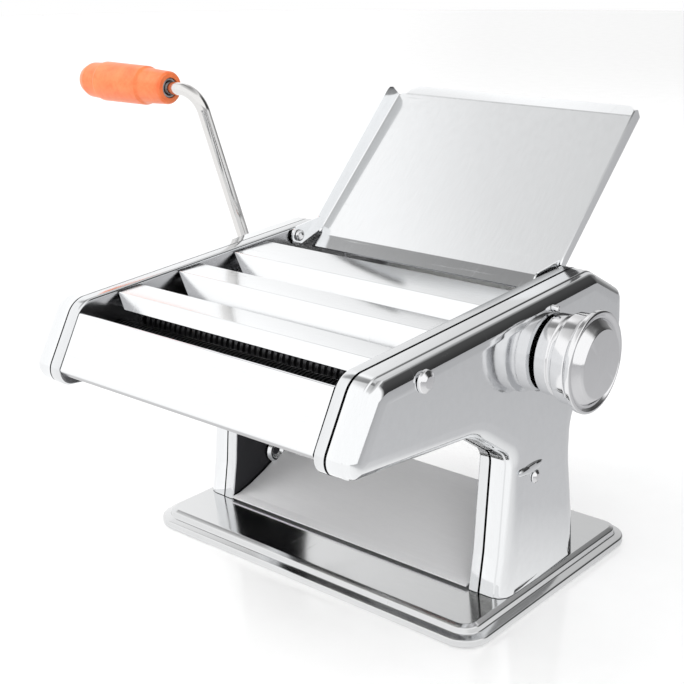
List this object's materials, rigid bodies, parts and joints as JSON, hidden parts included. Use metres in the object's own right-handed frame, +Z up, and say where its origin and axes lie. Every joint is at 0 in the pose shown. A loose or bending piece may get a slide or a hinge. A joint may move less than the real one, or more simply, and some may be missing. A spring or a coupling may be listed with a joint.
{
  "type": "pasta roller machine",
  "caption": "Hand-cranked table pasta machine with smooth sheet rollers, cutter roller pairs, thickness dial, folding feed tray and a pressed steel base.",
  "frame": {"origin": "on the floor plane, under the middle of the bounding box of the machine with its crank up and its tray open", "axes": "+X along the rollers towards the thickness dial, +Y to the back, +Z up"},
  "size_m": [0.3354, 0.2676, 0.2415],
  "materials": {
    "polished_steel": "mirror polished stainless sheet",
    "roller_steel": "ground steel",
    "gear_steel": "plain machined steel",
    "orange_plastic": "moulded orange plastic",
    "comb_plastic": "moulded white plastic",
    "foot_rubber": "black rubber"
  },
  "bodies": {
    "housing": {"base_plate": "polished_steel", "foot_left_front": "foot_rubber", "foot_left_rear": "foot_rubber", "foot_right_front": "foot_rubber", "foot_right_rear": "foot_rubber", "side_frame_left": "polished_steel", "side_frame_right": "polished_steel", "side_cover_left": "polished_steel", "side_cover_right": "polished_steel", "front_panel": "polished_steel", "cutter_guide_1": "polished_steel", "cutter_guide_2": "polished_steel", "cutter_guide_3": "polished_steel", "rear_panel": "polished_steel", "sheet_chute": "polished_steel", "roller_scraper_front": "comb_plastic", "roller_scraper_rear": "comb_plastic", "cutter_comb_1_front": "comb_plastic", "cutter_comb_1_rear": "comb_plastic", "cutter_comb_2_front": "comb_plastic", "cutter_comb_2_rear": "comb_plastic", "cutter_comb_3_front": "comb_plastic", "cutter_comb_3_rear": "comb_plastic", "tie_rod_front": "roller_steel", "tie_rod_rear": "roller_steel", "cover_screw_left": "polished_steel", "cover_screw_right": "polished_steel", "cover_rivet_left": "polished_steel", "cover_rivet_right": "polished_steel", "dial_index_pin": "polished_steel", "tray_pin_left": "polished_steel", "tray_pin_right": "polished_steel", "roller_bush_left": "gear_steel", "roller_bush_right": "gear_steel"},
    "sheet_drive": {"sheet_roller_rear": "roller_steel", "roller_gear_rear": "gear_steel", "crank_arm": "polished_steel"},
    "hand_grip": {"crank_grip": "orange_plastic", "grip_ferrule": "gear_steel"},
    "gap_carrier": {"bearing_block_left": "gear_steel", "bearing_block_right": "gear_steel"},
    "sheet_idler": {"sheet_roller_front": "roller_steel", "roller_gear_front": "gear_steel"},
    "dial_shaft": {"dial_spindle": "gear_steel"},
    "dial_knob": {"dial_body": "polished_steel", "dial_cap": "polished_steel"},
    "cutter_1_drive": {"cutter_roller_1_rear": "roller_steel", "cutter_gear_1_rear": "gear_steel"},
    "cutter_1_idler": {"cutter_roller_1_front": "roller_steel", "cutter_gear_1_front": "gear_steel"},
    "cutter_2_drive": {"cutter_roller_2_rear": "roller_steel", "cutter_gear_2_rear": "gear_steel"},
    "cutter_2_idler": {"cutter_roller_2_front": "roller_steel", "cutter_gear_2_front": "gear_steel"},
    "cutter_3_drive": {"cutter_roller_3_rear": "roller_steel", "cutter_gear_3_rear": "gear_steel"},
    "cutter_3_idler": {"cutter_roller_3_front": "roller_steel", "cutter_gear_3_front": "gear_steel"},
    "feed_tray": {"tray": "polished_steel"}
  },
  "joints": [
    {"name": "crank_turn", "type": "hinge", "parent": "housing", "child": "sheet_drive", "pos_m": [-0.0587, 0.03738, 0.125], "axis": [1, 0, 0], "continuous": true},
    {"name": "grip_spin", "type": "hinge", "parent": "sheet_drive", "child": "hand_grip", "pos_m": [-0.1287, -0.00112, 0.2305], "axis": [1, 0, 0], "continuous": true},
    {"name": "gap_slide", "type": "slide", "parent": "housing", "child": "gap_carrier", "axis": [0, 1, 0], "range_m": [0, 0.00251]},
    {"name": "idler_turn", "type": "hinge", "parent": "gap_carrier", "child": "sheet_idler", "pos_m": [0.0413, 0.01088, 0.125], "axis": [1, 0, 0], "continuous": true},
    {"name": "dial_turn", "type": "hinge", "parent": "housing", "child": "dial_shaft", "pos_m": [0.1463, 0.01213, 0.125], "axis": [1, 0, 0], "range_deg": [0, 180]},
    {"name": "dial_pull", "type": "slide", "parent": "dial_shaft", "child": "dial_knob", "axis": [1, 0, 0], "range_m": [0, 0.003], "stiffness_N_per_m": 600},
    {"name": "cutter_1_turn", "type": "hinge", "parent": "housing", "child": "cutter_1_drive", "pos_m": [0.0413, -0.09432, 0.1245], "axis": [1, 0, 0], "continuous": true},
    {"name": "cutter_1_counter_turn", "type": "hinge", "parent": "housing", "child": "cutter_1_idler", "pos_m": [0.0413, -0.11092, 0.1245], "axis": [1, 0, 0], "continuous": true},
    {"name": "cutter_2_turn", "type": "hinge", "parent": "housing", "child": "cutter_2_drive", "pos_m": [0.0413, -0.05482, 0.1265], "axis": [1, 0, 0], "continuous": true},
    {"name": "cutter_2_counter_turn", "type": "hinge", "parent": "housing", "child": "cutter_2_idler", "pos_m": [0.0413, -0.07142, 0.1265], "axis": [1, 0, 0], "continuous": true},
    {"name": "cutter_3_turn", "type": "hinge", "parent": "housing", "child": "cutter_3_drive", "pos_m": [0.0413, -0.01482, 0.1285], "axis": [1, 0, 0], "continuous": true},
    {"name": "cutter_3_counter_turn", "type": "hinge", "parent": "housing", "child": "cutter_3_idler", "pos_m": [0.0413, -0.03142, 0.1285], "axis": [1, 0, 0], "continuous": true},
    {"name": "tray_fold", "type": "hinge", "parent": "housing", "child": "feed_tray", "pos_m": [0.0413, 0.03438, 0.1502], "axis": [1, 0, 0], "range_deg": [0, 130]}
  ],
  "couplings": [
    {"joint": "idler_turn", "follows": "crank_turn", "ratio": -1},
    {"joint": "gap_slide", "follows": "dial_turn", "m_per_rad": 0.00079577},
    {"joint": "cutter_1_counter_turn", "follows": "cutter_1_turn", "ratio": -1},
    {"joint": "cutter_2_counter_turn", "follows": "cutter_2_turn", "ratio": -1},
    {"joint": "cutter_3_counter_turn", "follows": "cutter_3_turn", "ratio": -1}
  ]
}
